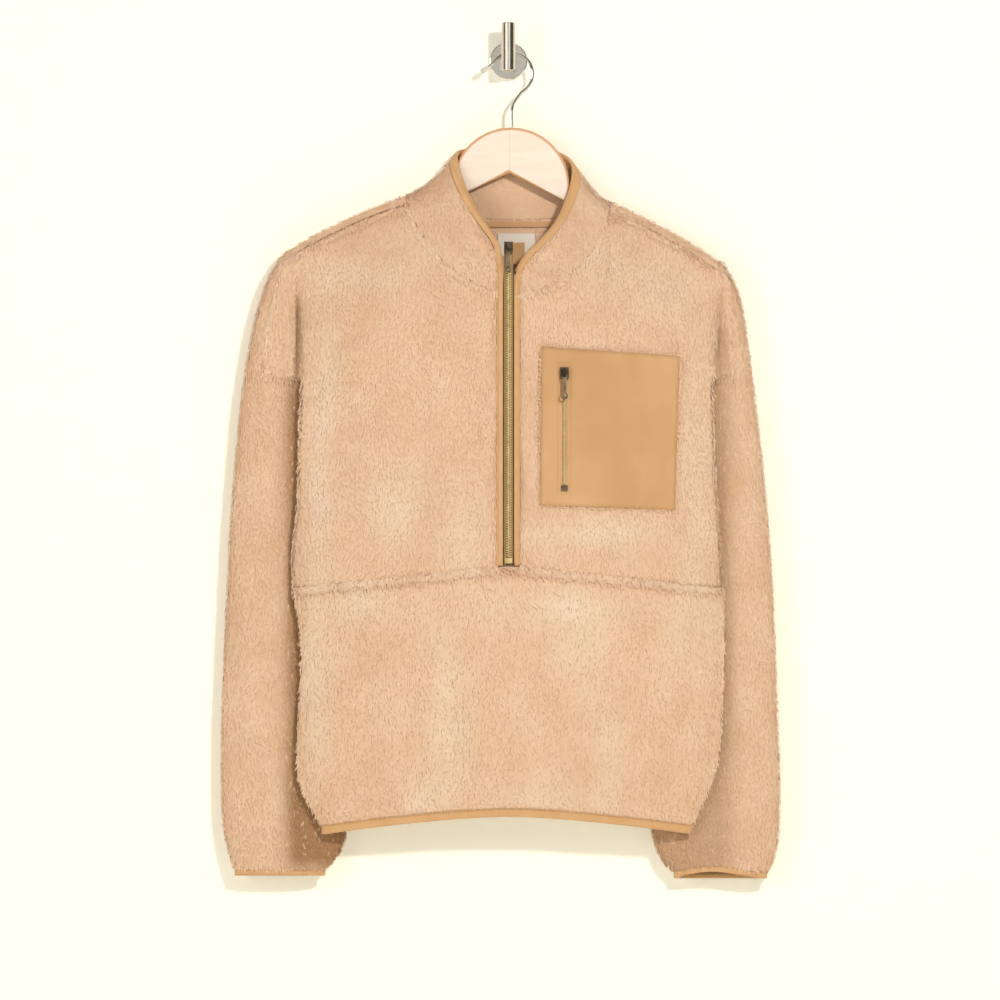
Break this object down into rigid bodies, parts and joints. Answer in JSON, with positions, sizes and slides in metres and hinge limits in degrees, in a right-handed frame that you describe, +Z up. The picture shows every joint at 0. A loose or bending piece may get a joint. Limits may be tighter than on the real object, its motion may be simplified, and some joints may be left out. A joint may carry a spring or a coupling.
{
  "type": "fleece half-zip pullover on a wooden hanger with a wall hook",
  "caption": "Sand-coloured pile fleece pullover with a half-length zip, standing collar and zipped chest pocket, hung on a pale wooden hanger from a round wall hook.",
  "frame": {"origin": "centre of the wall plate's back face, on the wall", "axes": "+Z up, +Y into the wall, +X to the right of someone who faces the garment's front"},
  "size_m": [0.5632, 0.0941, 0.857],
  "materials": {
    "fleece": "high-pile fleece, sand",
    "binding": "elastic woven tape, tan",
    "pocket_cloth": "plain woven nylon, tan",
    "zip_tape": "woven zip tape",
    "zip_teeth": "aged brass",
    "zip_slider": "dark bronze plating",
    "label": "blank satin label",
    "hanger_wood": "pale lacquered wood with tan edges",
    "hook_wire": "polished wire",
    "hook_tip": "clear soft plastic sleeve",
    "wall_hook": "brushed nickel"
  },
  "bodies": {
    "garment": {"front_right": "fleece", "front_left": "fleece", "front_lower": "fleece", "back": "fleece", "sleeve_right_front": "fleece", "sleeve_right_back": "fleece", "sleeve_right_outer_fold": "fleece", "sleeve_right_inner_fold": "fleece", "sleeve_left_front": "fleece", "sleeve_left_back": "fleece", "sleeve_left_outer_fold": "fleece", "sleeve_left_inner_fold": "fleece", "collar": "fleece", "collar_binding": "binding", "placket_binding_right": "binding", "placket_binding_left": "binding", "hem_binding": "binding", "cuff_binding_right": "binding", "cuff_binding_left": "binding", "pocket_patch": "pocket_cloth", "zip_tape": "zip_tape", "zip_chain": "zip_teeth", "zip_stop": "zip_teeth", "pocket_chain": "zip_teeth", "pocket_stop": "zip_teeth", "zip_slider": "zip_slider", "pocket_slider": "zip_slider", "back_neck_tape": "binding", "neck_label": "label", "size_tab": "binding", "hanger_wood": "hanger_wood", "hanger_hook": "hook_wire", "hook_tip": "hook_tip", "wall_plate": "wall_hook", "wall_peg": "wall_hook"},
    "zip_pull": {"zip_pull": "zip_slider"},
    "pocket_pull": {"pocket_pull": "zip_slider"}
  },
  "joints": [
    {"name": "zip_pull_hinge", "type": "hinge", "parent": "garment", "child": "zip_pull", "pos_m": [0, -0.07791, -0.187], "axis": [-1, 0, 0], "range_deg": [0, 150]},
    {"name": "pocket_pull_hinge", "type": "hinge", "parent": "garment", "child": "pocket_pull", "pos_m": [0.0558, -0.09004, -0.3125], "axis": [-1, 0, 0], "range_deg": [0, 150]}
  ]
}
